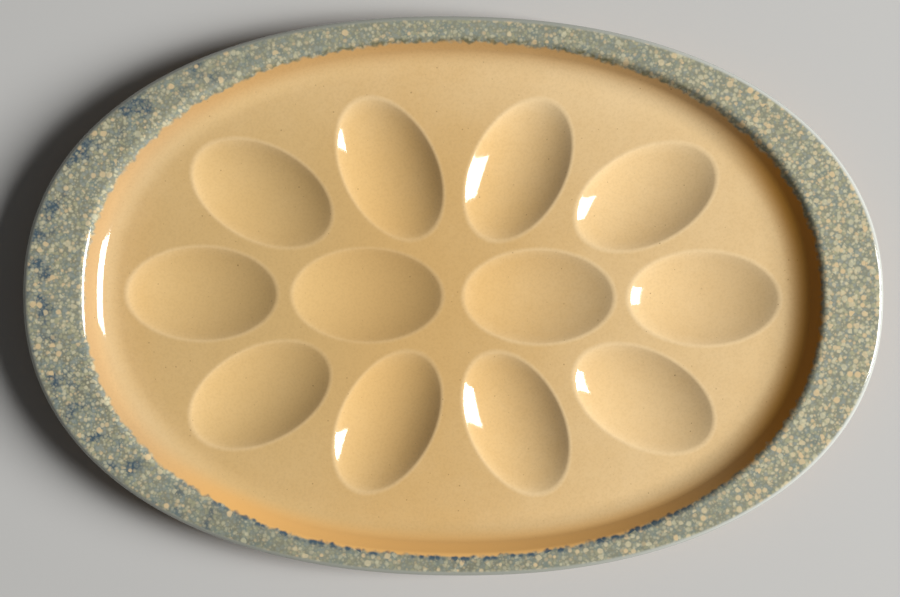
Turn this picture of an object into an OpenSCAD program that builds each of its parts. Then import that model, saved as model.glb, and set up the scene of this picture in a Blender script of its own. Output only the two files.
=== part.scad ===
// Oval stoneware platter with twelve egg hollows.
// A pressed clay body on a bare foot ring, under three coats of glaze: honey in the well,
// spattered blue-green on the rim and honey again on the underside.
// The origin is on the table, under the middle of the platter. X runs along its length.

/* [Outline] */
// Length of the platter over its rim
platter_length = 380; // [360:1:420]
// Width of the platter over its rim
platter_width = 247; // [238:1:280]
// Power of the oval outline, where 2 is a true ellipse
outline_power = 2.2; // [2:0.05:2.5]

/* [Rim] */
// Width of the flange at each end of the platter
end_flange = 24.5; // [16:0.5:34]
// Width of the flange along each side of the platter
side_flange = 7.5; // [6.5:0.5:14]
// Thickness of the flange, whose outer edge is fully round
flange_t = 5.5; // [4.5:0.1:6]
// Radius of the rolled lip between the flange and the well
lip_r = 4; // [3:0.25:5]

/* [Well] */
// Depth of the floor below the flange
well_depth = 9.5; // [8:0.5:13]
// Slope of the well's wall in degrees
wall_slope = 49; // [42:1:60]
// Radius of the cove at the foot of the wall
cove_r = 8; // [6:0.5:10]
// Slope in degrees where the cove runs out into the sweep
sweep_slope = 30; // [24:1:36]
// Radius of the sweep that leads into the floor
sweep_r = 17; // [12:0.5:24]
// Thickness of the floor, with its coats of glaze
floor_t = 6; // [5:0.1:7]

/* [Egg hollows] */
// Length of an egg hollow over its rounded lip
hollow_length = 69.5; // [60:0.5:71]
// Width of an egg hollow over its rounded lip
hollow_width = 43.5; // [38:0.5:47]
// Depth of an egg hollow below the floor
hollow_depth = 5.75; // [5:0.25:10]
// Radius of an egg hollow's lip
hollow_lip_r = 3; // [2:0.25:4]
// Gap between the two hollows in the middle
middle_gap = 7; // [5:0.5:12]
// Gap between an end hollow and the edge of the floor
end_gap = 1.75; // [1.5:0.25:5]

/* [Foot ring] */
// Width of the foot ring where it meets the body
foot_width = 8; // [7:0.25:10]
// Width of the ground face that the platter stands on
tread_width = 5; // [3:0.25:6]
// Chamfer on both edges of that face
tread_chamfer = 0.6; // [0.3:0.1:0.8]
// Gap between the table and the underside of the hollows
table_gap = 2; // [1:0.25:4]

/* [Glaze] */
// Thickness of each coat of glaze
glaze_t = 0.6; // [0.3:0.05:1]

/* [Hidden] */

// Facets of the ovals and of the hollows, and of the short and long curves in the section
ring_steps = 64;
hollow_steps = 18;
arc_steps = 3;
round_steps = 4;
// How far a cutting form reaches past what it cuts
overrun = 1;

// Places of the corner and side hollows, as shares of the floor's half length and half width
corner_place_shares = [0.5765, 0.455];
side_place_shares = [0.193, 0.5705];
// Directions in degrees that their long axes point in
corner_turn = 27.5;
side_turn = 63.5;

// Heights above the table
underside_z = table_gap + hollow_depth;
floor_z = underside_z + floor_t;
rim_z = floor_z + well_depth;

// Section of the well's wall, from the edge of the floor outwards
sweep_end = [sweep_r * sin(sweep_slope), floor_z + sweep_r * (1 - cos(sweep_slope))];
cove_centre = sweep_end + cove_r * [-sin(sweep_slope), cos(sweep_slope)];
cove_end = cove_centre + cove_r * [sin(wall_slope), -cos(wall_slope)];
lip_drop = lip_r * (1 - cos(wall_slope));
wall_rise = rim_z - lip_drop - cove_end.y;
lip_start = cove_end + wall_rise * [1 / tan(wall_slope), 1];
wall_run = lip_start.x + lip_r * sin(wall_slope);
lip_centre = [wall_run, rim_z - lip_r];

// Half sizes of the flat floor and of the whole outline, and the radius of the round edge
floor_half = [
    platter_length / 2 - end_flange - wall_run,
    platter_width / 2 - side_flange - wall_run
];
outline_half = [platter_length / 2, platter_width / 2];
edge_r = flange_t / 2;

// Section of an egg hollow across its width: a round cap that rolls over into the lip
hollow_half = [hollow_length / 2, hollow_width / 2];
hollow_slope = 2 * atan(hollow_depth / hollow_half.y);
cap_r = hollow_half.y / sin(hollow_slope) - hollow_lip_r;
cap_centre_z = floor_z - hollow_depth + cap_r;
// Slopes of the rings of a cap, as shares of the slope at its edge
cap_slope_shares = [1, 0.7, 0.4, 0.1];

// Run over which the underside rises from the foot ring to the flange
ogee_run = wall_run + min(side_flange, end_flange) - flange_t - foot_width;

// Colours of the clay and the glazes
clay_colour = [0.74, 0.62, 0.47];
honey_colour = [0.84, 0.70, 0.48];
spatter_colour = [0.59, 0.59, 0.51];

function reversed(list) = [for (i = [len(list) - 1:-1:0]) list[i]];
function without_last(list) = [for (i = [0:len(list) - 2]) list[i]];

// Point of the oval of half size 1 at the given turn
function oval(turn) = [for (c = [cos(turn), sin(turn)]) sign(c) * pow(abs(c), 2 / outline_power)];

// Oval ring of the given half length and half width, at a height
function ring(half, z) = [
    for (i = [0:ring_steps - 1])
        let (p = oval(360 * i / ring_steps)) [half.x * p.x, half.y * p.y, z]
];

// The ring through a point of the section: so far outside the floor, or inside the outline
function floor_ring(p) = ring(floor_half + [p.x, p.x], p.y);
function rim_ring(p) = ring(outline_half - [p.x, p.x], p.y);

// Points of an arc in a section, from one slope to another. A negative radius bulges up.
function arc(centre, r, from, to, steps = arc_steps) = [
    for (k = [0:steps])
        let (slope = from + (to - from) * k / steps) centre + r * [sin(slope), -cos(slope)]
];

// Rings of the top surface from the floor outwards, sunk so far below the finished glaze
function well_rings(sunk) = [
    for (p = concat(
        without_last(arc([0, floor_z + sweep_r], sweep_r + sunk, 0, sweep_slope)),
        arc(cove_centre, cove_r + sunk, sweep_slope, wall_slope)
    )) floor_ring(p)
];
function lip_rings(sunk) = [
    for (p = arc(lip_centre, sunk - lip_r, wall_slope, 0)) floor_ring(p)
];
function edge_rings(sunk) = [
    for (p = arc([edge_r, rim_z - edge_r], edge_r - sunk, 180, 360, round_steps)) rim_ring(p)
];

// Rings of the underside from the flange in to the foot ring, raised so far above its glaze
function ogee_rings(raised) = [
    for (k = [round_steps:-1:0])
        let (share = k / round_steps)
        let (rise_share = share * share * (3 - 2 * share))
        floor_ring([
            foot_width + ogee_run * share,
            underside_z + raised + (rim_z - flange_t - underside_z) * rise_share
        ])
];

// Two triangles between neighbouring points of two rings, split along the shorter diagonal
function band_faces(rings, k, next, i) =
    let (count = len(rings[0]), j = (i + 1) % count)
    let (a = k * count + i, b = k * count + j, c = next * count + j, d = next * count + i)
    norm(rings[next][j] - rings[k][i]) < norm(rings[next][i] - rings[k][j])
        ? [[a, c, d], [a, b, c]]
        : [[a, b, d], [b, c, d]];

// A solid through rings that run from its top over its outside to its underside
module loft(rings) {
    count = len(rings[0]);
    last = len(rings) - 1;
    polyhedron(
        [for (r = rings) each r],
        concat(
            [for (k = [0:last - 1], i = [0:count - 1]) each band_faces(rings, k, k + 1, i)],
            [[for (i = [count - 1:-1:0]) i]],
            [[for (i = [0:count - 1]) last * count + i]]
        )
    );
}

// A solid through a closed loop of rings, which goes round like a tyre
module loop_loft(rings) {
    count = len(rings[0]);
    loops = len(rings);
    polyhedron(
        [for (r = rings) each r],
        [for (k = [0:loops - 1], i = [0:count - 1]) each band_faces(rings, k, (k + 1) % loops, i)]
    );
}

// Half length of a hollow where its half width is r: the same oval at every depth
function hollow_half_length(r) = r + (hollow_half.x / hollow_half.y - 1) * min(r, hollow_half.y);

function hollow_ring(p) = [
    for (i = [0:hollow_steps - 1])
        let (turn = 360 * i / hollow_steps)
        [hollow_half_length(p.x) * cos(turn), p.x * sin(turn), p.y]
];

// Points of a cap's section from its edge down, sunk so far below the finished glaze
function cap_points(sunk, edge_slope) = [
    for (share = cap_slope_shares)
        let (slope = share * edge_slope)
        [(cap_r + sunk) * sin(slope), cap_centre_z - (cap_r + sunk) * cos(slope)]
];

// The open space of one hollow up to a height, sunk so far below the finished glaze
module hollow_space(sunk, top_z) {
    cap = cap_points(sunk, hollow_slope);
    lip = arc([hollow_half.y, floor_z - hollow_lip_r], sunk - hollow_lip_r, 0, hollow_slope / 2, 1);
    hull() loft([for (p = cap) hollow_ring(p)]);
    loft([for (p = concat([[hollow_half.y, top_z]], lip, [cap[0]])) hollow_ring(p)]);
}

// The belly of one hollow under the floor up to a height, raised so far above its glaze
module hollow_belly(raised, top_z) {
    sunk = floor_t - raised;
    edge_slope = acos((cap_r - hollow_depth + sunk) / (cap_r + sunk));
    cap = cap_points(sunk, edge_slope);
    hull() loft([for (p = concat([[cap[0].x, top_z]], cap)) hollow_ring(p)]);
}

// Puts its children at all twelve hollows
module at_hollows() {
    for (end = [0, 1]) mirror([end, 0, 0]) {
        translate([middle_gap / 2 + hollow_half.x, 0, 0]) children();
        translate([floor_half.x - end_gap - hollow_half.x, 0, 0]) children();
        for (side = [0, 1]) mirror([0, side, 0]) {
            at_place(corner_place_shares, corner_turn) children();
            at_place(side_place_shares, side_turn) children();
        }
    }
}

module at_place(shares, turn) {
    translate([shares.x * floor_half.x, shares.y * floor_half.y, 0]) rotate(turn) children();
}

// The pressed clay: flange, wall, floor and hollows in one piece
module stoneware_body() {
    color(clay_colour) difference() {
        union() {
            loft(concat(well_rings(glaze_t), lip_rings(glaze_t), edge_rings(glaze_t), ogee_rings(glaze_t)));
            at_hollows() hollow_belly(glaze_t, floor_z - floor_t / 2);
        }
        at_hollows() hollow_space(glaze_t, floor_z + overrun);
    }
}

// The bare clay ring under the edge of the floor, ground flat where it stands
module foot_ring() {
    top_z = underside_z + glaze_t;
    tread_in = (foot_width - tread_width) / 2;
    section = [
        [0, top_z],
        [foot_width, top_z],
        [foot_width - tread_in + tread_chamfer, tread_chamfer],
        [foot_width - tread_in, 0],
        [tread_in, 0],
        [tread_in - tread_chamfer, tread_chamfer]
    ];
    color(clay_colour) loop_loft([for (p = section) floor_ring(p)]);
}

// The honey glaze over the floor, the hollows and the wall
module well_glaze() {
    face = concat(well_rings(0), [lip_rings(0)[0]]);
    back = concat(well_rings(glaze_t), [lip_rings(glaze_t)[0]]);
    color(honey_colour) difference() {
        union() {
            loft(concat(face, reversed(back)));
            at_hollows() hollow_space(glaze_t, floor_z);
        }
        at_hollows() hollow_space(0, floor_z + overrun);
    }
}

// The spattered glaze over the lip, the flange and the round edge
module rim_glaze() {
    face = concat(lip_rings(0), edge_rings(0));
    back = concat(lip_rings(glaze_t), edge_rings(glaze_t));
    color(spatter_colour) loop_loft(concat(face, reversed(back)));
}

// The honey glaze under the flange, and inside the foot ring over the bellies of the hollows
module underside_glaze() {
    edge_z = rim_z - flange_t;
    inside_z = underside_z + glaze_t;
    face = concat([rim_ring([edge_r, edge_z])], ogee_rings(0));
    back = concat([rim_ring([edge_r, edge_z + glaze_t])], ogee_rings(glaze_t));
    color(honey_colour) {
        loop_loft(concat(face, reversed(back)));
        difference() {
            union() {
                loft([floor_ring([0, inside_z]), floor_ring([0, underside_z])]);
                at_hollows() hollow_belly(0, inside_z);
            }
            at_hollows() hollow_belly(glaze_t, inside_z + overrun);
        }
    }
}

stoneware_body();
foot_ring();
well_glaze();
rim_glaze();
underside_glaze();
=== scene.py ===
from math import acos, atan, atan2, copysign, cos, pi, radians, sin, sqrt, tan

import bmesh
import bpy
from bpy.props import FloatProperty, FloatVectorProperty, IntProperty, PointerProperty
from mathutils import Matrix, Vector


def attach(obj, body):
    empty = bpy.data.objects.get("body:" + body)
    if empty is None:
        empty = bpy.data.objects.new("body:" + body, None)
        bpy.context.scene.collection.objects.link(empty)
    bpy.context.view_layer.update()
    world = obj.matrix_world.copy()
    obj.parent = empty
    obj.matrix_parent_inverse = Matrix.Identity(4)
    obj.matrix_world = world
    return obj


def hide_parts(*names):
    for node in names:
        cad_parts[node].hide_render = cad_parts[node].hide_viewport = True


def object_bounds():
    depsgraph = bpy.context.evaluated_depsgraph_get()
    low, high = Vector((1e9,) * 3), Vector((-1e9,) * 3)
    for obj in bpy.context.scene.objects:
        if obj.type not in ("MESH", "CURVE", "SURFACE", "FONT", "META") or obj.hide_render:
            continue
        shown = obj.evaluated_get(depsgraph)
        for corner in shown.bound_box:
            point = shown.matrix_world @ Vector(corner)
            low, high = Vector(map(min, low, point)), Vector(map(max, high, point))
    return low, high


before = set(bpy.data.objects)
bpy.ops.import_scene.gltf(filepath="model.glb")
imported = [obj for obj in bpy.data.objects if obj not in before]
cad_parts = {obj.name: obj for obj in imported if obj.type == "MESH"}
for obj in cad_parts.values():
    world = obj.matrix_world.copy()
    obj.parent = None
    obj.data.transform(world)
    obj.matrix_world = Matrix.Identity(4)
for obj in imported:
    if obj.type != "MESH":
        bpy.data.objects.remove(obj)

CAD_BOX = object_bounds()

bl_info = {
    "name": "Egg platter",
    "version": (1, 0, 0),
    "blender": (4, 5, 0),
    "location": "View3D > Sidebar > Egg platter",
    "description": "Models an oval stoneware platter with twelve egg hollows, in its coats of glaze",
    "category": "Add Mesh",
}

# Facets of each stretch of a section
SWEEP_STEPS = 10
COVE_STEPS = 10
WALL_STEPS = 3
LIP_STEPS = 14
FLANGE_STEPS = 7
EDGE_STEPS = 20
OGEE_STEPS = 24
HOLLOW_LIP_STEPS = 8
CAP_STEPS = 16
FILLET_STEPS = 5
BELLY_STEPS = 12
TREAD_STEPS = 5

# Where the pieces of the two glazes meet, as a share of the straight part of the wall
SEAM_SHARE = 0.8
# Slope of the last ring of a hollow and of its belly, as a share of the slope at the edge
CAP_END_SHARE = 0.04
BELLY_END_SHARE = 0.06
# Widths in metres of the flat strips next to the wall and each lip, around a hollow and around a belly
NEXT_STRIP = 0.0004
HOLLOW_STRIP = 0.0009
BELLY_STRIP = 0.00005
# How thin the glaze breaks beside a hollow's lip and on the lip, what the lip's crest adds to that,
# and what each ring down the hollow takes off
BREAK_BESIDE = 0.3
BREAK_ON_LIP = 0.6
BREAK_CREST = 0.4
BREAK_FADE = 0.15
# Angle between two faces past which their edge stays sharp
SHARP_ANGLE = radians(50)
# Index of refraction of the fired glaze
GLAZE_IOR = 1.52
# Least reach of an oval's distance, which keeps its middle from a division by nought
LEAST_REACH = 0.01

# Patterns in the honey glaze, at so many to a metre
HONEY_CLOUDS = 55
HONEY_GRAIN = 420
IRON_SPECKS = 260
IRON_FRECKLES = 620
IRON_DUST = 900
# Patterns in the rim's glaze, at so many to a metre
RIM_DRIFT = 26
RIM_VEINS = 230
RIM_BLOTS = 90
FINE_DROPS = 800
SMALL_DROPS = 540
LARGE_DROPS = 330
# Patterns along the line where the two glazes meet and on the outer edge, at so many to a metre
LINE_WANDER = 90
LINE_SCALLOPS = 300
LINE_TEETH = 480
LINE_BEADS = 300
LINE_DRIPS = 260
EDGE_DRIPS = 150
# Waves and fine peel in the surface of the top's glaze: how many to a metre, and their heights in metres
TOP_WAVES = 70
TOP_PEEL = 700
TOP_WAVE_HEIGHT = 0.00006
TOP_PEEL_HEIGHT = 0.000003
# Patterns, waves and peel of the glaze underneath
UNDER_WARMTH = 30
UNDER_THINNING = 18
UNDER_WAVES = 80
UNDER_PEEL = 600
UNDER_WAVE_HEIGHT = 0.00012
UNDER_PEEL_HEIGHT = 0.000006
# Patterns and tooth of the bare clay
CLAY_TOAST = 40
CLAY_GRIT = 700
CLAY_TOOTH = 900
CLAY_TOOTH_HEIGHT = 0.00015
# Clouds on the floor, at so many to a metre
FLOOR_CLOUDS = 6

# Width of the picture in picture elements, and of the camera's sensor in millimetres
PICTURE_WIDTH = 900
SENSOR_WIDTH = 36


# Sizes and colours

def length(name, description, millimetres):
    """A length that the user may change, given in millimetres."""
    return FloatProperty(
        name=name, description=description, default=millimetres / 1000, unit="LENGTH", precision=5
    )


def slope(name, description, in_degrees):
    """An angle that the user may change, given in degrees."""
    return FloatProperty(
        name=name, description=description, default=radians(in_degrees), subtype="ANGLE"
    )


def share(name, description, default):
    """A plain number that the user may change."""
    return FloatProperty(name=name, description=description, default=default, subtype="FACTOR")


def linear(level):
    """A display level from 0 to 255 as the linear value that shaders use."""
    level /= 255
    return level / 12.92 if level <= 0.04045 else ((level + 0.055) / 1.055) ** 2.4


def colour(name, description, red, green, blue):
    """A colour that the user may change, given in display levels from 0 to 255."""
    return FloatVectorProperty(
        name=name, description=description, size=4, subtype="COLOR", min=0, max=1,
        default=(linear(red), linear(green), linear(blue), 1),
    )


class PlatterShape(bpy.types.PropertyGroup):
    platter_length: length("Length", "Length of the platter over its rim",
                           1000 * (CAD_BOX[1][0] - CAD_BOX[0][0]))
    platter_width: length("Width", "Width of the platter over its rim",
                          1000 * (CAD_BOX[1][1] - CAD_BOX[0][1]))
    outline_power: FloatProperty(
        name="Outline power", description="Power of the oval outline, where 2 is a true ellipse",
        default=2.2)
    end_flange: length("End flange", "Width of the flange at each end of the platter", 24.5)
    side_flange: length("Side flange", "Width of the flange along each side", 7.5)
    flange_t: length("Flange thickness", "Thickness of the flange, whose edge is fully round", 5.5)
    lip_r: length("Lip radius", "Radius of the rolled lip between the flange and the well", 4)
    well_depth: length("Well depth", "Depth of the floor below the flange", 9.5)
    wall_slope: slope("Wall slope", "Slope of the well's wall", 49)
    cove_r: length("Cove radius", "Radius of the cove at the foot of the wall", 8)
    sweep_slope: slope("Sweep slope", "Slope where the cove runs out into the sweep", 30)
    sweep_r: length("Sweep radius", "Radius of the sweep that leads into the floor", 17)
    floor_t: length("Floor thickness", "Thickness of the floor with its coats of glaze", 6)
    hollow_length: length("Hollow length", "Length of an egg hollow over its lip", 69.5)
    hollow_width: length("Hollow width", "Width of an egg hollow over its lip", 43.5)
    hollow_depth: length("Hollow depth", "Depth of an egg hollow below the floor", 5.75)
    hollow_lip_r: length("Hollow lip radius", "Radius of an egg hollow's lip", 3)
    middle_gap: length("Middle gap", "Gap between the two hollows in the middle", 7)
    end_gap: length("End gap", "Gap between an end hollow and the edge of the floor", 1.75)
    corner_place: FloatVectorProperty(
        name="Corner place", description="Place of a corner hollow in shares of the floor's half sizes",
        size=2, default=(0.5765, 0.455))
    corner_turn: slope("Corner turn", "Direction of a corner hollow's long axis", 27.5)
    side_place: FloatVectorProperty(
        name="Side place", description="Place of a side hollow in shares of the floor's half sizes",
        size=2, default=(0.193, 0.5705))
    side_turn: slope("Side turn", "Direction of a side hollow's long axis", 63.5)
    foot_width: length("Foot width", "Width of the foot ring where it meets the body", 8)
    tread_width: length("Tread width", "Width of the ground face that the platter stands on", 5)
    tread_round: length("Tread rounding", "Rounding on both edges of the tread", 0.6)
    table_gap: length("Table gap", "Gap between the table and the underside of the hollows", 2)
    glaze_t: length("Glaze thickness", "Thickness of each coat of glaze", 0.6)
    belly_fillet: length("Belly fillet", "Fillet between a hollow's underside and the floor", 0.4)
    ring_steps: IntProperty(name="Ring steps", description="Facets around the ovals", default=256)
    hollow_steps: IntProperty(name="Hollow steps", description="Facets around a hollow", default=72)


class PlatterFinish(bpy.types.PropertyGroup):
    honey: colour("Honey", "Honey glaze in the middle of the floor", 214, 175, 114)
    honey_dull: colour("Dull honey", "Honey glaze towards one end of the floor", 211, 176, 118)
    honey_warm: colour("Warm honey", "Honey glaze where it runs up to the rim", 199, 157, 101)
    # Pale honey also carries painted light: the paler right end and far left of the floor.
    honey_pale: colour("Pale honey", "Honey glaze where it is thin, over lips and at the ends",
                       237, 207, 158)
    # Amber honey is painted light: it lightens the shaded front wall near the rim line.
    honey_amber_painted_light: colour("Amber honey", "Honey glaze where it thins along one side", 234, 182, 110)
    # Deep honey is painted shade on the wall at the right end.
    honey_deep_painted_shade: colour("Deep honey", "Honey glaze where it pools at one end", 212, 148, 50)
    speck: colour("Iron speck", "Fine iron specks in the honey glaze", 118, 84, 44)
    rim_grey: colour("Rim grey", "Ground of the rim's glaze", 143, 142, 122)
    rim_slate: colour("Rim slate", "Darker ground at one end of the rim", 118, 117, 100)
    rim_teal: colour("Rim teal", "Veins between the drops on the rim", 117, 136, 135)
    rim_navy: colour("Rim navy", "Dark blotches and runs on the rim", 58, 82, 100)
    rim_olive: colour("Rim olive", "Dark fringe where the two glazes run together", 100, 98, 66)
    # Misty grey also serves as the painted sheen on the honey of the left wall.
    mist: colour("Misty drop", "Bluish drops on the rim", 148, 154, 145)
    moss: colour("Moss drop", "Green drops on the rim", 172, 169, 135)
    cream: colour("Cream drop", "Pale drops on the rim", 212, 205, 171)
    peach: colour("Peach drop", "Warm drops on the rim", 219, 193, 149)
    edge_grey: colour("Edge grey", "Thin glaze on the rounded outer edge", 164, 166, 155)
    # Painted highlight: the pale top of the rounded outer edge towards the right end.
    edge_painted_highlight: colour("Pale edge", "Glaze that breaks pale over the outer edge at one end", 188, 190, 183)
    clay: colour("Clay", "Bare stoneware of the foot ring", 198, 170, 132)
    clay_toast: colour("Toasted clay", "Clay that the kiln has browned", 160, 118, 76)
    line_centre: FloatVectorProperty(
        name="Glaze line centre", description="Middle of the oval line where the two glazes meet",
        size=2, unit="LENGTH", default=(-0.00005, -0.00115))
    line_half: FloatVectorProperty(
        name="Glaze line half sizes", description="Half length and half width of that line",
        size=2, unit="LENGTH", default=(0.16295, 0.11355))
    line_power: FloatProperty(
        name="Glaze line power", description="Power of that oval line", default=2.14)
    gloss: share("Glaze roughness", "Roughness of the fired glaze on top", 0.07)
    under_gloss: share("Underside roughness", "Roughness of the fired glaze underneath", 0.12)
    clay_rough: share("Clay roughness", "Roughness of the bare clay", 0.85)


class PlatterStage(bpy.types.PropertyGroup):
    floor: colour("Floor", "Plain floor under the platter", 192, 191, 188)
    floor_cloud: colour("Floor cloud", "Faint clouds on the floor", 206, 206, 206)
    floor_half: length("Floor half size", "From the middle of the floor to its sides", 3000)
    camera_distance: length("Camera distance", "From the camera to the rim", 780)
    camera_aim: FloatVectorProperty(
        name="Camera aim", description="Point of the platter in the middle of the picture",
        size=3, subtype="TRANSLATION", default=(-0.00127, -0.00111, CAD_BOX[1][2]))
    camera_right: slope("Camera right", "Lean of the camera towards the right end", 0.19)
    camera_back: slope("Camera back", "Lean of the camera towards the far side", 0.14)
    camera_roll: slope("Camera roll", "Turn of the camera about its view", 0.55)
    pixels_per_metre: FloatProperty(
        name="Scale", description="Picture elements to a metre at the rim", default=2271)
    key_place: FloatVectorProperty(
        name="Softbox place", description="Middle of the softbox", size=3, subtype="TRANSLATION",
        default=(3.702, -0.22, 2.56))
    key_aim: FloatVectorProperty(
        name="Softbox aim", description="Point that the softbox faces", size=3, subtype="TRANSLATION",
        default=(0, 0, 0.015))
    key_width: length("Softbox width", "Width of the softbox along the platter's side", 1610)
    key_height: length("Softbox height", "Height of the softbox", 2480)
    key_power: FloatProperty(
        name="Softbox power", description="Power of the softbox", default=341, unit="POWER")
    fill: FloatProperty(name="Fill", description="Strength of the even light around", default=0.07)


# Section of the platter

def arc(centre, radius, first, last, steps):
    """Points of an arc in a section, from one slope to another. A negative radius bulges up."""
    turns = [first + (last - first) * k / steps for k in range(steps + 1)]
    return [Vector((centre[0] + radius * sin(t), centre[1] - radius * cos(t))) for t in turns]


class Section:
    """Places in the platter's section that follow from its sizes."""

    def __init__(self, shape):
        self.shape = shape
        self.underside_z = shape.table_gap + shape.hollow_depth
        self.floor_z = self.underside_z + shape.floor_t
        self.rim_z = self.floor_z + shape.well_depth
        self.sweep_centre = Vector((0, self.floor_z + shape.sweep_r))
        sweep_end = arc(self.sweep_centre, shape.sweep_r, shape.sweep_slope, 0, 1)[0]
        self.cove_centre = sweep_end + shape.cove_r * Vector(
            (-sin(shape.sweep_slope), cos(shape.sweep_slope)))
        self.cove_end = arc(self.cove_centre, shape.cove_r, shape.wall_slope, 0, 1)[0]
        rise = self.rim_z - shape.lip_r * (1 - cos(shape.wall_slope)) - self.cove_end.y
        self.lip_start = self.cove_end + rise * Vector((1 / tan(shape.wall_slope), 1))
        self.wall_run = self.lip_start.x + shape.lip_r * sin(shape.wall_slope)
        self.lip_centre = Vector((self.wall_run, self.rim_z - shape.lip_r))
        self.seam = self.cove_end.lerp(self.lip_start, SEAM_SHARE)
        self.edge_r = shape.flange_t / 2
        self.outline = Vector((shape.platter_length / 2, shape.platter_width / 2))
        self.floor = self.outline - Vector((shape.end_flange, shape.side_flange))
        self.floor -= Vector((self.wall_run, self.wall_run))
        self.hollow = Vector((shape.hollow_length / 2, shape.hollow_width / 2))
        self.hollow_slope = 2 * atan(shape.hollow_depth / self.hollow.y)
        self.cap_r = self.hollow.y / sin(self.hollow_slope) - shape.hollow_lip_r
        self.cap_z = self.floor_z - shape.hollow_depth + self.cap_r

    def oval(self, half, z, turn):
        """A point of an oval ring of the given half sizes."""
        power = 2 / self.shape.outline_power
        across = [copysign(abs(c) ** power, c) for c in (cos(turn), sin(turn))]
        return Vector((half.x * across[0], half.y * across[1], z))

    def from_floor(self, point):
        """Places a ring at a point of the section, so far outside the floor's edge."""
        half = self.floor + Vector((point[0], point[0]))
        return lambda turn: self.oval(half, point[1], turn)

    def from_outline(self, point):
        """Places a ring at a point of the section, so far inside the outline."""
        half = self.outline - Vector((point[0], point[0]))
        return lambda turn: self.oval(half, point[1], turn)

    def in_hollow(self, point, place):
        """Places a ring at a point of a hollow's section, in the hollow at the given place."""
        inside = min(point[0], self.hollow.y)
        half = Vector((point[0] + inside * (self.hollow.x / self.hollow.y - 1), point[0]))
        return lambda turn: place @ Vector((half.x * cos(turn), half.y * sin(turn), point[1]))

    def hollow_places(self):
        """The places of all twelve hollows."""
        shape = self.shape
        rows = [
            (shape.middle_gap / 2 + self.hollow.x, 0, 0),
            (self.floor.x - shape.end_gap - self.hollow.x, 0, 0),
        ]
        turned = ((shape.corner_place, shape.corner_turn), (shape.side_place, shape.side_turn))
        for shares, turn in turned:
            x, y = shares[0] * self.floor.x, shares[1] * self.floor.y
            rows += [(x, y, turn), (x, -y, -turn)]
        rows += [(-x, y, pi - turn) for x, y, turn in rows]
        return [Matrix.Translation((x, y, 0)) @ Matrix.Rotation(turn, 4, "Z") for x, y, turn in rows]


def between(first, second, part):
    """Places a ring part of the way from one ring to another."""
    return lambda turn: first(turn).lerp(second(turn), part)


# Modelling helpers

def start_piece(context):
    """The sizes, finish and section that a piece follows, and an empty bmesh for it.

    The bmesh's points keep their turn around a ring and how thin the glaze breaks there.
    """
    shape = context.scene.platter_shape
    bm = bmesh.new()
    bm.verts.layers.float.new("turn")
    bm.verts.layers.float.new("glaze_break")
    return shape, context.scene.platter_finish, Section(shape), bm


def set_ring(bm, verts, place, thin):
    """Puts the points of a ring in place."""
    turn = bm.verts.layers.float["turn"]
    glaze_break = bm.verts.layers.float["glaze_break"]
    for vert in verts:
        vert.co = place(vert[turn])
        vert[glaze_break] = thin


def first_ring(bm, steps, place, thin=0.0):
    """Starts a surface with a ring of edges, and returns them."""
    turn = bm.verts.layers.float["turn"]
    verts = bmesh.ops.create_circle(bm, cap_ends=False, segments=steps, radius=1)["verts"]
    for vert in verts:
        vert[turn] = atan2(vert.co.y, vert.co.x)
    set_ring(bm, verts, place, thin)
    return list(dict.fromkeys(edge for vert in verts for edge in vert.link_edges))


def next_ring(bm, edges, place, thin=0.0):
    """Extrudes a ring of edges to its next place, and returns the new edges."""
    made = bmesh.ops.extrude_edge_only(bm, edges=edges)["geom"]
    verts = dict.fromkeys(part for part in made if isinstance(part, bmesh.types.BMVert))
    set_ring(bm, verts, place, thin)
    return [
        part for part in made
        if isinstance(part, bmesh.types.BMEdge) and all(vert in verts for vert in part.verts)
    ]


def close_ring(bm, edges, height):
    """Closes a small ring with a fan of faces whose middle is at the given height."""
    face = bmesh.ops.edgeloop_fill(bm, edges=edges)["faces"]
    middle = bmesh.ops.poke(bm, faces=face)["verts"]
    for vert in middle:
        vert.co.z = height


def coat(bm, thickness, outward):
    """Turns an open surface's faces to one side and gives it its thickness behind them."""
    bmesh.ops.recalc_face_normals(bm, faces=bm.faces[:])
    largest = max(bm.faces, key=lambda face: face.calc_area())
    if largest.normal.dot(outward) < 0:
        bmesh.ops.reverse_faces(bm, faces=bm.faces[:])
    bmesh.ops.solidify(bm, geom=bm.faces[:], thickness=thickness)


def finish_piece(bm, name, material):
    """Makes a piece of a bmesh: its smooth faces, sharp edges, finish and place in the frame."""
    bm.verts.layers.float.remove(bm.verts.layers.float["turn"])
    for face in bm.faces:
        face.smooth = True
    mesh = bpy.data.meshes.new(name)
    bm.to_mesh(mesh)
    bm.free()
    mesh.set_sharp_from_angle(angle=SHARP_ANGLE)
    mesh.materials.append(material)
    piece = bpy.data.objects.new(name, mesh)
    bpy.context.scene.collection.objects.link(piece)
    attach(piece, "root")
    return piece


# Shader helpers

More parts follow.
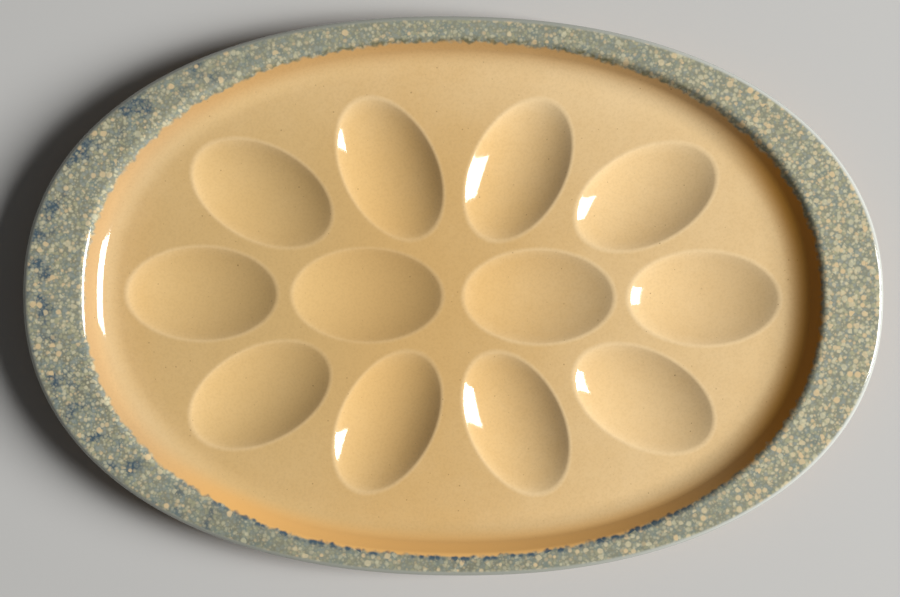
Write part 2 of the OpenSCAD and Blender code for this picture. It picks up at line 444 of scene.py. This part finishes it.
class Wire:
    """A socket in a material's nodes. Arithmetic on it adds Math nodes."""

    def __init__(self, tree, socket=None):
        self.tree = tree
        self.socket = socket

    def node(self, kind, settings=None, inputs=None, output=0):
        """Adds a node of a type, with its settings and its sockets' values or links, for one output."""
        made = self.tree.nodes.new(kind)
        for name, value in (settings or {}).items():
            setattr(made, name, value)
        for key, value in (inputs or {}).items():
            if isinstance(value, Wire):
                self.tree.links.new(value.socket, made.inputs[key])
            else:
                made.inputs[key].default_value = value
        return Wire(self.tree, made.outputs[output])

    def math(self, operation, *values):
        return self.node("ShaderNodeMath", {"operation": operation}, dict(enumerate(values)))

    def __add__(self, other):
        return self.math("ADD", self, other)

    def __radd__(self, other):
        return self.math("ADD", other, self)

    def __sub__(self, other):
        return self.math("SUBTRACT", self, other)

    def __rsub__(self, other):
        return self.math("SUBTRACT", other, self)

    def __mul__(self, other):
        return self.math("MULTIPLY", self, other)

    def __rmul__(self, other):
        return self.math("MULTIPLY", other, self)

    def __truediv__(self, other):
        return self.math("DIVIDE", self, other)

    def __rtruediv__(self, other):
        return self.math("DIVIDE", other, self)

    def __pow__(self, other):
        return self.math("POWER", self, other)

    def __abs__(self):
        return self.math("ABSOLUTE", self)

    def __lt__(self, other):
        return self.math("LESS_THAN", self, other)

    def ramp(self, low, high):
        """From 0 at the low value to 1 at the high one, eased at both ends."""
        return self.node(
            "ShaderNodeMapRange", {"interpolation_type": "SMOOTHSTEP"},
            {"Value": self, "From Min": low, "From Max": high})

    def blend(self, first, second):
        """A colour between two others, by this share of the second."""
        return self.node(
            "ShaderNodeMix", {"data_type": "RGBA"}, {0: self, 6: first, 7: second}, 2)

    def bump(self, strength):
        """A normal that follows this height in metres."""
        return self.node(
            "ShaderNodeBump", None, {"Height": self, "Distance": 1.0, "Strength": strength}, "Normal")

    def parts(self):
        """The three values of a colour or vector."""
        split = self.node("ShaderNodeSeparateXYZ", None, {0: self})
        return [Wire(self.tree, out) for out in split.socket.node.outputs]

    def noise(self, scale, detail=2.0, roughness=0.5):
        """Cloudy values around a half, at this many to a metre, on these coordinates."""
        return self.node(
            "ShaderNodeTexNoise", None,
            {"Vector": self, "Scale": scale, "Detail": detail, "Roughness": roughness}, "Fac")

    def sway(self, reach):
        """Cloudy values brought around nought, this far from end to end."""
        return (self - 0.5) * reach

    def cells(self, scale, spread):
        """Distances from scattered points, so many to a metre, and three chances for each point."""
        near = self.node(
            "ShaderNodeTexVoronoi", {"voronoi_dimensions": spread},
            {"Vector": self, "Scale": scale}, "Distance")
        chances = Wire(self.tree, near.socket.node.outputs["Color"]).parts()
        return near, chances

    def drops(self, scale, size, fullness, soft, spread="3D"):
        """Where round drops are, and a chance for each. Sizes are shares of their spacing."""
        near, (big, there, tint) = self.cells(scale, spread)
        reach = size * (0.5 + 0.5 * big)
        return ((reach - near) / soft).ramp(0, 1) * (there < fullness), tint


def new_material(name, **constants):
    """A material, its one shader with the constant values set, and a wire with the place on the piece."""
    material = bpy.data.materials.new(name)
    material.use_nodes = True
    tree = material.node_tree
    shader = next(node for node in tree.nodes if node.type == "BSDF_PRINCIPLED")
    for socket, value in constants.items():
        shader.inputs[socket.replace("_", " ")].default_value = value
    return material, shader, Wire(tree).node("ShaderNodeTexCoord", output="Object")


def feed(shader, **wires):
    """Links wires to the shader's sockets."""
    for socket, wire in wires.items():
        wire.tree.links.new(wire.socket, shader.inputs[socket.replace("_", " ")])


def oval_distance(x, y, centre, half, power):
    """Distance outside an oval line, negative inside it."""
    across = [x - centre[0], y - centre[1]]
    reach = (abs(across[0] / half[0]) ** power + abs(across[1] / half[1]) ** power) ** (1 / power)
    radius = (across[0] * across[0] + across[1] * across[1]) ** 0.5
    return radius * (1 - 1 / reach.math("MAXIMUM", reach, LEAST_REACH))


# Finishes, with places in metres

def honey_colour(place, finish, tone, warm, pale_and_painted_light, thin):
    """The honey glaze over its plain tone: mottled, paler in places (on the top partly painted light),
    warmer, with iron specks.
    """
    cloud = place.noise(HONEY_CLOUDS, detail=3.0)
    grain = place.noise(HONEY_GRAIN)
    pale = (pale_and_painted_light + thin * 0.3 + cloud.sway(0.25) + grain.sway(0.12)).ramp(0, 1)
    tone = pale.blend(tone, finish.honey_pale[:])
    tone = (warm * 0.8 + cloud.sway(0.3)).ramp(0, 1).blend(tone, finish.honey_warm[:])
    specks, depth = place.drops(IRON_SPECKS, size=0.12, fullness=0.55, soft=0.05)
    freckles, faint = place.drops(IRON_FRECKLES, size=0.17, fullness=0.4, soft=0.08)
    dark = specks * (0.18 + 0.42 * depth) + freckles * faint * 0.32
    dark = dark + place.noise(IRON_DUST).ramp(0.4, 0.7) * 0.07
    return dark.blend(tone, finish.speck[:])


def drop_colour(tint, finish):
    """The colour of a drop on the rim by its chance: misty, then moss, cream and peach."""
    light = tint.ramp(0.8, 1.0).blend(finish.cream[:], finish.peach[:])
    light = tint.ramp(0.55, 0.75).blend(finish.moss[:], light)
    return tint.ramp(0.25, 0.45).blend(finish.mist[:], light)


def spatter_colour(place, x, y, finish, inside_edge, crest, line):
    """The rim's glaze: soft drops of many tones that crowd a grey ground, and a painted highlight along
    the outer edge at the right end.
    """
    right = x.ramp(-0.05, 0.15)
    left = (0 - x).ramp(0.05, 0.17)
    front = (0 - y).ramp(0.06, 0.11)
    back = y.ramp(0.06, 0.11)
    slate = (left * 0.3 + front * 0.3 + place.noise(RIM_DRIFT).sway(1.0)).ramp(0.0, 0.9)
    ground = slate.blend(finish.rim_grey[:], finish.rim_slate[:])
    veins = place.noise(RIM_VEINS, detail=3.0, roughness=0.6).sway(3.0).ramp(-0.2, 0.6)
    ground = (veins * (0.45 + 0.2 * left)).blend(ground, finish.rim_teal[:])
    outer = left * inside_edge.ramp(-0.021, -0.007)
    blots = ((place.noise(RIM_BLOTS) - 0.48) * 4.5 * (0.17 + outer)).ramp(0.0, 0.7)
    ground = (blots * 0.85).blend(ground, finish.rim_navy[:])
    cover = (1 - 0.25 * back) * (1 - 0.45 * front) * (1 - 0.45 * blots)
    cover = cover * (1 - 0.35 * left * back)
    fine, fine_tint = place.drops(FINE_DROPS, size=0.85, fullness=0.95, soft=0.6, spread="2D")
    small, small_tint = place.drops(SMALL_DROPS, size=0.84, fullness=0.95, soft=0.55, spread="2D")
    crowd = (0.17 + 0.28 * right) * (1 - 0.5 * back)
    large, large_tint = place.drops(LARGE_DROPS, size=0.62, fullness=crowd, soft=0.26, spread="2D")
    tone = (fine * cover * 0.6).blend(ground, drop_colour(fine_tint, finish))
    tone = (small * cover * 0.75).blend(tone, drop_colour(small_tint + 0.08 * right, finish))
    large_tone = large_tint.ramp(0.1, 0.9).blend(finish.cream[:], finish.peach[:])
    tone = (large * (0.5 + 0.4 * large_tint)).blend(tone, large_tone)
    # Painted highlight: the top of the outer edge is painted pale towards the right end.
    edge_tone = (x.ramp(0.03, 0.15) * crest).blend(finish.edge_grey[:], finish.edge_painted_highlight[:])
    tone = inside_edge.ramp(-0.0027, -0.0012).blend(tone, edge_tone)
    beads, _ = place.drops(LINE_BEADS, size=0.9, fullness=0.75, soft=0.5, spread="2D")
    run = line.ramp(0.0034, 0.0008) * (0.05 * right + 0.2 * front + beads * (0.12 + 0.5 * front))
    tone = run.ramp(0.0, 1.0).blend(tone, finish.rim_navy[:])
    drips = (place.noise(LINE_DRIPS) - 0.42).ramp(0.0, 0.16)
    fringe = line.ramp(0.0030, 0.0004) * (0.18 * right + 0.6 * back * drips)
    return fringe.ramp(0.0, 1.0).blend(tone, finish.rim_olive[:])


def glaze_material(name, finish, section):
    """Both glazes of the top, which meet on one ragged line around the well. The honey carries painted
    light and shade at the ends and along the front.
    """
    material, shader, place = new_material(name, Roughness=finish.gloss, IOR=GLAZE_IOR)
    x, y, z = place.parts()
    line = oval_distance(x, y, finish.line_centre, finish.line_half, finish.line_power)
    scallop, _ = place.cells(LINE_SCALLOPS, "2D")
    wobble = place.noise(LINE_WANDER).sway(0.0018) + (0.45 - scallop) * 0.0014
    ragged = line + wobble + place.noise(LINE_TEETH).sway(0.0014)
    edge = oval_distance(x, y, (0, 0), section.outline, section.shape.outline_power)
    thin = place.node("ShaderNodeAttribute", {"attribute_name": "glaze_break"}, output="Fac")
    outward = oval_distance(x, y, (0, 0), section.floor, 2).ramp(-0.1, 0.0)
    # Painted light: the floor and sweep at the far left end are painted paler.
    far_left_painted_light = (0 - x).ramp(0.08, 0.14) * line.ramp(-0.024, -0.013)
    # Painted light: the right end, nearer the softbox, is painted paler.
    right = x.ramp(-0.03, 0.09)
    # How pale the honey is: paler towards the ends and the far side, plus the painted light at the right
    # end and the far left.
    pale_and_painted_light = outward * (0.2 - 0.12 * right) + far_left_painted_light * 0.14 + right * 0.51 + y.ramp(0.06, 0.1) * 0.22
    dull = (0 - x).ramp(0.02, 0.08) * x.ramp(-0.15, -0.125)
    plain = dull.blend(finish.honey[:], finish.honey_dull[:])
    honey = honey_colour(place, finish, plain, line.ramp(-0.012, 0.0), pale_and_painted_light, thin)
    # Painted light: amber honey lightens the shaded front wall near the rim line.
    front_painted_light = line.ramp(-0.012, -0.003) * (0 - y).ramp(0.06, 0.1)
    honey = (front_painted_light * 0.9).blend(honey, finish.honey_amber_painted_light[:])
    # Painted shade: deep honey darkens the shaded wall at the right end.
    right_wall_painted_shade = line.ramp(-0.016, -0.004) * x.ramp(0.11, 0.15)
    honey = (right_wall_painted_shade * 0.9).blend(honey, finish.honey_deep_painted_shade[:])
    # Painted sheen: a misty grey pales the honey on the left wall, between its highlights.
    left_wall_painted_sheen = line.ramp(-0.016, -0.008) * (0 - x).ramp(0.09, 0.14)
    honey = (left_wall_painted_sheen * 0.15).blend(honey, finish.mist[:])
    crest = (z - section.rim_z).ramp(-0.0019, -0.0011)
    spatter = spatter_colour(place, x, y, finish, edge, crest, ragged)
    outside_line = ragged.ramp(-0.0008, 0.0006)
    drip = place.noise(EDGE_DRIPS).sway(0.0016)
    upper_edge = (z + drip).ramp(section.rim_z - 0.0044, section.rim_z - 0.0038)
    feed(shader, Base_Color=(outside_line * upper_edge).blend(honey, spatter))
    waves = place.noise(TOP_WAVES, detail=1.0) * TOP_WAVE_HEIGHT
    peel = place.noise(TOP_PEEL, detail=1.0) * TOP_PEEL_HEIGHT
    feed(shader, Normal=(waves + peel).bump(0.6))
    return material


def underside_material(name, finish):
    """Honey glaze on the underside, a little browner and less even."""
    material, shader, place = new_material(name, Roughness=finish.under_gloss, IOR=GLAZE_IOR)
    warm = 0.35 + place.noise(UNDER_WARMTH, detail=3.0).sway(1.4)
    thin = place.noise(UNDER_THINNING).sway(0.3)
    feed(shader, Base_Color=honey_colour(place, finish, finish.honey[:], warm, 0.12, thin))
    waves = place.noise(UNDER_WAVES) * UNDER_WAVE_HEIGHT
    peel = place.noise(UNDER_PEEL, detail=1.0) * UNDER_PEEL_HEIGHT
    feed(shader, Normal=(waves + peel).bump(0.7))
    return material


def clay_material(name, finish):
    """Bare stoneware: buff, gritty, and toasted in patches."""
    material, shader, place = new_material(name, Roughness=finish.clay_rough)
    toast = (place.noise(CLAY_TOAST, detail=4.0) - 0.35).ramp(0.05, 0.45)
    grit, dark = place.drops(CLAY_GRIT, size=0.4, fullness=0.3, soft=0.15)
    tone = (toast * 0.45).blend(finish.clay[:], finish.clay_toast[:])
    tone = (grit * dark * 0.7).blend(tone, finish.speck[:])
    feed(shader, Base_Color=tone)
    tooth = place.noise(CLAY_TOOTH, detail=4.0, roughness=0.65) * CLAY_TOOTH_HEIGHT
    feed(shader, Normal=tooth.bump(0.6))
    return material


def floor_material(name, stage):
    """A plain floor without gloss, with faint clouds."""
    material, shader, place = new_material(name, Roughness=1.0, Specular_IOR_Level=0.0)
    cloud = (place.noise(FLOOR_CLOUDS) - 0.5).ramp(-0.3, 0.3) * 0.06
    feed(shader, Base_Color=cloud.blend(stage.floor[:], stage.floor_cloud[:]))
    return material


# Pieces

class PLATTER_OT_well_glaze(bpy.types.Operator):
    """Models the honey glaze over the floor, the twelve hollows and the wall"""
    bl_idname = "platter.well_glaze"
    bl_label = "Well glaze"

    def execute(self, context):
        shape, finish, section, bm = start_piece(context)
        points = [Vector((0, section.floor_z))]
        points += arc(section.sweep_centre, shape.sweep_r, 0, shape.sweep_slope, SWEEP_STEPS)[1:]
        points += arc(
            section.cove_centre, shape.cove_r, shape.sweep_slope, shape.wall_slope, COVE_STEPS)[1:]
        points += [section.cove_end.lerp(section.seam, (k + 1) / WALL_STEPS) for k in range(WALL_STEPS)]
        ring = first_ring(bm, shape.ring_steps, section.from_floor((-NEXT_STRIP, section.floor_z)))
        open_edges = list(ring)
        for point in points:
            ring = next_ring(bm, ring, section.from_floor(point))
        lip = arc((section.hollow.y, section.floor_z - shape.hollow_lip_r), -shape.hollow_lip_r,
                  0, section.hollow_slope, HOLLOW_LIP_STEPS)
        cap = arc((0, section.cap_z), section.cap_r,
                  section.hollow_slope, CAP_END_SHARE * section.hollow_slope, CAP_STEPS)
        for place in section.hollow_places():
            outside = section.in_hollow((section.hollow.y + HOLLOW_STRIP, section.floor_z), place)
            beside = section.in_hollow((section.hollow.y + NEXT_STRIP, section.floor_z), place)
            ring = first_ring(bm, shape.hollow_steps, outside)
            open_edges += ring
            ring = next_ring(bm, ring, beside, BREAK_BESIDE)
            for k, point in enumerate(lip):
                thin = BREAK_ON_LIP + BREAK_CREST * sin(pi * k / HOLLOW_LIP_STEPS)
                ring = next_ring(bm, ring, section.in_hollow(point, place), thin)
            for k, point in enumerate(cap[1:]):
                thin = max(0, BREAK_BESIDE - BREAK_FADE * k)
                ring = next_ring(bm, ring, section.in_hollow(point, place), thin)
            close_ring(bm, ring, section.floor_z - shape.hollow_depth)
        bmesh.ops.triangle_fill(bm, use_beauty=True, normal=(0, 0, 1), edges=open_edges)
        coat(bm, shape.glaze_t, Vector((0, 0, 1)))
        piece = finish_piece(bm, "honey_well",
                             glaze_material("honey_glaze", finish, section))
        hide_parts("well_glaze")
        return {"FINISHED"}


class PLATTER_OT_rim_glaze(bpy.types.Operator):
    """Models the spattered glaze over the lip, the flange and the round edge"""
    bl_idname = "platter.rim_glaze"
    bl_label = "Rim glaze"

    def execute(self, context):
        shape, finish, section, bm = start_piece(context)
        lip = arc(section.lip_centre, -shape.lip_r, shape.wall_slope, 0, LIP_STEPS)
        ring = first_ring(bm, shape.ring_steps, section.from_floor(section.seam))
        for point in lip:
            ring = next_ring(bm, ring, section.from_floor(point))
        edge_centre = (section.edge_r, section.rim_z - section.edge_r)
        edge = arc(edge_centre, section.edge_r, pi, 2 * pi, EDGE_STEPS)
        lip_top = section.from_floor(lip[-1])
        edge_top = section.from_outline((section.edge_r, section.rim_z))
        for k in range(1, FLANGE_STEPS):
            ring = next_ring(bm, ring, between(lip_top, edge_top, k / FLANGE_STEPS))
        for point in edge:
            ring = next_ring(bm, ring, section.from_outline(point))
        coat(bm, shape.glaze_t, Vector((0, 0, 1)))
        piece = finish_piece(bm, "spattered_rim",
                             glaze_material("spatter_glaze", finish, section))
        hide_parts("rim_glaze")
        return {"FINISHED"}


class PLATTER_OT_underside_glaze(bpy.types.Operator):
    """Models the honey glaze under the flange, and inside the foot ring over the hollows' bellies"""
    bl_idname = "platter.underside_glaze"
    bl_label = "Underside glaze"

    def execute(self, context):
        shape, finish, section, bm = start_piece(context)
        flange_z = section.rim_z - shape.flange_t
        flange = min(shape.side_flange, shape.end_flange)
        run = section.wall_run + flange - shape.flange_t - shape.foot_width
        ring = first_ring(bm, shape.ring_steps, section.from_outline((section.edge_r, flange_z)))
        for k in range(OGEE_STEPS, -1, -1):
            part = k / OGEE_STEPS
            rise = part * part * (3 - 2 * part)
            height = section.underside_z + (flange_z - section.underside_z) * rise
            ring = next_ring(bm, ring, section.from_floor((shape.foot_width + run * part, height)))
        open_edges = first_ring(bm, shape.ring_steps, section.from_floor((0, section.underside_z)))
        belly_r = section.cap_r + shape.floor_t
        fillet = shape.belly_fillet
        drop = section.cap_z - section.underside_z + fillet
        foot = sqrt((belly_r + fillet) ** 2 - drop ** 2)
        turn = acos(drop / (belly_r + fillet))
        curve = arc((foot, section.underside_z - fillet), -fillet, 0, turn, FILLET_STEPS)
        curve += arc((0, section.cap_z), belly_r, turn, BELLY_END_SHARE * turn, BELLY_STEPS)[1:]
        for place in section.hollow_places():
            outside = section.in_hollow((foot + BELLY_STRIP, section.underside_z), place)
            ring = first_ring(bm, shape.hollow_steps, outside)
            open_edges += ring
            for point in curve:
                ring = next_ring(bm, ring, section.in_hollow(point, place))
            close_ring(bm, ring, section.cap_z - belly_r)
        bmesh.ops.triangle_fill(bm, use_beauty=True, normal=(0, 0, -1), edges=open_edges)
        coat(bm, shape.glaze_t, Vector((0, 0, -1)))
        piece = finish_piece(bm, "honey_underside",
                             underside_material("underside_glaze", finish))
        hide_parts("underside_glaze")
        return {"FINISHED"}


class PLATTER_OT_foot_ring(bpy.types.Operator):
    """Models the bare foot ring, ground flat on its tread"""
    bl_idname = "platter.foot_ring"
    bl_label = "Foot ring"

    def execute(self, context):
        shape, finish, section, bm = start_piece(context)
        top_z = section.underside_z + shape.glaze_t
        inset = (shape.foot_width - shape.tread_width) / 2
        round_r = shape.tread_round
        taper = inset - round_r
        outside = [(shape.foot_width, top_z), (shape.foot_width - taper / 2, top_z / 2)]
        outside += arc((shape.foot_width - inset, round_r), round_r, pi / 2, 0, TREAD_STEPS)
        inside = [(shape.foot_width - u, z) for u, z in outside]
        points = outside + inside[::-1]
        start = ring = first_ring(bm, shape.ring_steps, section.from_floor(points[0]))
        for point in points[1:]:
            ring = next_ring(bm, ring, section.from_floor(point))
        bmesh.ops.bridge_loops(bm, edges=start + ring)
        bmesh.ops.recalc_face_normals(bm, faces=bm.faces[:])
        piece = finish_piece(bm, "bare_foot", clay_material("bare_clay", finish))
        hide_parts("foot_ring")
        return {"FINISHED"}


class PLATTER_OT_stoneware_body(bpy.types.Operator):
    """Gives the pressed body under the glazes its bare clay"""
    bl_idname = "platter.stoneware_body"
    bl_label = "Stoneware body"

    def execute(self, context):
        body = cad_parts["stoneware_body"]
        body.data.materials.clear()
        body.data.materials.append(clay_material("body_clay", context.scene.platter_finish))
        return {"FINISHED"}


# Stage

def add_floor(scene, stage):
    """Lays the plain floor under the platter."""
    bm = bmesh.new()
    bmesh.ops.create_grid(bm, x_segments=1, y_segments=1, size=stage.floor_half)
    mesh = bpy.data.meshes.new("floor")
    bm.to_mesh(mesh)
    bm.free()
    mesh.materials.append(floor_material("plain_floor", stage))
    floor = bpy.data.objects.new("floor", mesh)
    scene.collection.objects.link(floor)


def add_softbox(scene, stage):
    """Hangs the softbox so that it faces the platter."""
    lamp = bpy.data.lights.new("softbox", "AREA")
    lamp.shape = "RECTANGLE"
    lamp.size, lamp.size_y = stage.key_width, stage.key_height
    lamp.energy = stage.key_power
    softbox = bpy.data.objects.new("softbox", lamp)
    softbox.location = stage.key_place
    facing = Vector(stage.key_aim) - softbox.location
    softbox.rotation_euler = facing.to_track_quat("-Z", "Y").to_euler()
    scene.collection.objects.link(softbox)


def add_even_light(scene, stage):
    """Fills the shadows with an even white light from all around."""
    world = bpy.data.worlds.new("even_light")
    world.use_nodes = True
    ground = next(node for node in world.node_tree.nodes if node.type == "BACKGROUND")
    ground.inputs["Color"].default_value = (1, 1, 1, 1)
    ground.inputs["Strength"].default_value = stage.fill
    scene.world = world


def add_camera(scene, stage):
    """Points the camera down at the platter from its slight lean."""
    lens = bpy.data.cameras.new("camera")
    lens.sensor_width = SENSOR_WIDTH
    lens.lens = stage.pixels_per_metre * stage.camera_distance * SENSOR_WIDTH / PICTURE_WIDTH
    camera = bpy.data.objects.new("camera", lens)
    back = Vector((tan(stage.camera_right), tan(stage.camera_back), 1)).normalized()
    up = Vector((-sin(stage.camera_roll), cos(stage.camera_roll), 0))
    side = up.cross(back).normalized()
    up = back.cross(side)
    eye = Vector(stage.camera_aim) + back * stage.camera_distance
    camera.matrix_world = Matrix.Translation(eye) @ Matrix((side, up, back)).transposed().to_4x4()
    scene.collection.objects.link(camera)
    scene.camera = camera


class PLATTER_OT_stage(bpy.types.Operator):
    """Sets the plain floor, the softbox, the even light and the camera"""
    bl_idname = "platter.stage"
    bl_label = "Stage"

    def execute(self, context):
        scene = context.scene
        stage = scene.platter_stage
        scene.view_settings.view_transform = "Standard"
        add_floor(scene, stage)
        add_softbox(scene, stage)
        add_even_light(scene, stage)
        add_camera(scene, stage)
        return {"FINISHED"}


# Panel and registration

class PLATTER_PT_panel(bpy.types.Panel):
    """Lists the platter's pieces, sizes and colours in the sidebar"""
    bl_idname = "PLATTER_PT_panel"
    bl_label = "Egg platter"
    bl_space_type = "VIEW_3D"
    bl_region_type = "UI"
    bl_category = "Egg platter"

    def draw(self, context):
        for operator in OPERATORS:
            self.layout.operator(operator.bl_idname)
        for group_name in GROUPS:
            group = getattr(context.scene, group_name)
            box = self.layout.box()
            for name in group.__annotations__:
                box.prop(group, name)


OPERATORS = (
    PLATTER_OT_stoneware_body,
    PLATTER_OT_foot_ring,
    PLATTER_OT_well_glaze,
    PLATTER_OT_rim_glaze,
    PLATTER_OT_underside_glaze,
    PLATTER_OT_stage,
)
GROUPS = {"platter_shape": PlatterShape, "platter_finish": PlatterFinish, "platter_stage": PlatterStage}


def register():
    for group in GROUPS.values():
        bpy.utils.register_class(group)
    for name, group in GROUPS.items():
        setattr(bpy.types.Scene, name, PointerProperty(type=group))
    for operator in OPERATORS:
        bpy.utils.register_class(operator)
    bpy.utils.register_class(PLATTER_PT_panel)


def unregister():
    bpy.utils.unregister_class(PLATTER_PT_panel)
    for operator in reversed(OPERATORS):
        bpy.utils.unregister_class(operator)
    for name, group in GROUPS.items():
        delattr(bpy.types.Scene, name)
        bpy.utils.unregister_class(group)


def main():
    register()
    bpy.ops.platter.stoneware_body()
    bpy.ops.platter.foot_ring()
    bpy.ops.platter.well_glaze()
    bpy.ops.platter.rim_glaze()
    bpy.ops.platter.underside_glaze()
    bpy.ops.platter.stage()


if __name__ == "__main__":
    main()
